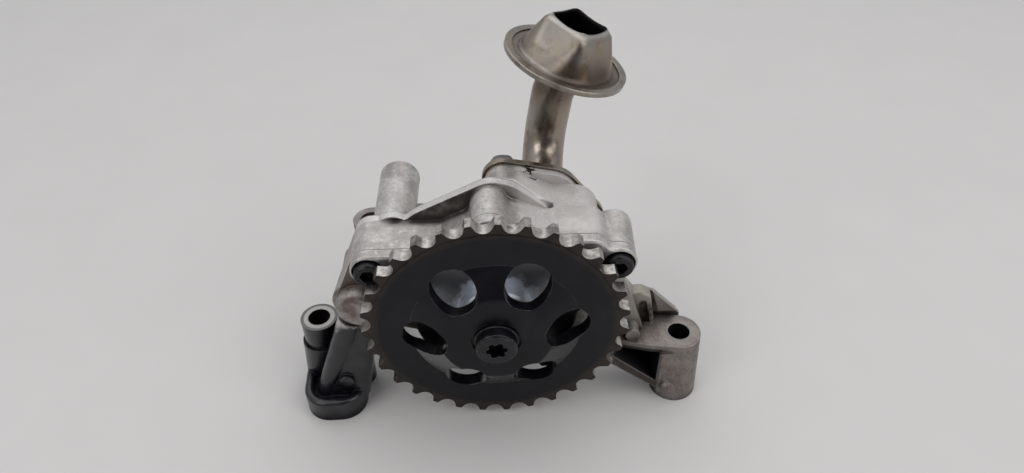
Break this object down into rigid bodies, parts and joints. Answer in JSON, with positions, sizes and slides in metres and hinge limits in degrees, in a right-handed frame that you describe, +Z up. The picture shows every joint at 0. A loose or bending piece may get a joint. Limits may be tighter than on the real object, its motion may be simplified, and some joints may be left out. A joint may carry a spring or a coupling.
{
  "type": "engine oil pump",
  "caption": "Chain-driven gerotor engine oil pump with a dished sprocket, a cast body on bolt-down feet, a relief valve and a pickup strainer.",
  "frame": {"origin": "on the pump shaft's axis, in the middle plane of the sprocket teeth (the chain line)", "axes": "+X to the right seen from the sprocket side, +Y along the shaft into the pump, +Z up, away from the mounting faces"},
  "size_m": [0.1587, 0.1042, 0.135],
  "materials": {
    "cast_alloy": "rough as-cast, oil-stained",
    "blackened_steel": "black phosphated, worn bright in the tooth gaps",
    "black_bolt": "black oxide",
    "grey_bolt": "dull zinc",
    "ground_steel": "ground",
    "sintered_steel": "sintered, matt",
    "spring_steel": "drawn wire",
    "stained_steel": "oil-stained sheet and tube",
    "bearing_bronze": "plain bearing",
    "seal_rubber": "matt"
  },
  "bodies": {
    "pump_body": {"pump_housing": "cast_alloy", "front_cover": "cast_alloy", "cover_screws": "black_bolt", "cover_washers": "black_bolt", "cover_dowels": "ground_steel", "front_bush": "bearing_bronze", "rear_bush": "bearing_bronze", "relief_spring": "spring_steel", "relief_plug": "ground_steel", "relief_pin": "ground_steel", "pickup_flange": "stained_steel", "pickup_bolts": "grey_bolt", "pickup_seal": "seal_rubber", "pickup_tube": "stained_steel", "strainer_base": "stained_steel", "strainer_cup": "stained_steel", "strainer_screen": "spring_steel"},
    "drive": {"chain_sprocket": "blackened_steel", "sprocket_bolt": "black_bolt", "drive_shaft": "ground_steel", "inner_rotor": "sintered_steel"},
    "rotor_ring": {"outer_rotor": "sintered_steel"},
    "valve_piston": {"relief_piston": "ground_steel"}
  },
  "joints": [
    {"name": "drive_spin", "type": "hinge", "parent": "pump_body", "child": "drive", "pos_m": [0, 0, 0], "axis": [0, 1, 0], "continuous": true},
    {"name": "ring_spin", "type": "hinge", "parent": "pump_body", "child": "rotor_ring", "pos_m": [0, 0.0176, -0.0026], "axis": [0, 1, 0], "continuous": true},
    {"name": "piston_slide", "type": "slide", "parent": "pump_body", "child": "valve_piston", "axis": [0, 1, 0], "range_m": [0, 0.006], "stiffness_N_per_m": 3000, "springref_m": -0.01, "deforming": ["relief_spring"]}
  ],
  "couplings": [
    {"joint": "ring_spin", "follows": "drive_spin", "ratio": 0.85714}
  ]
}
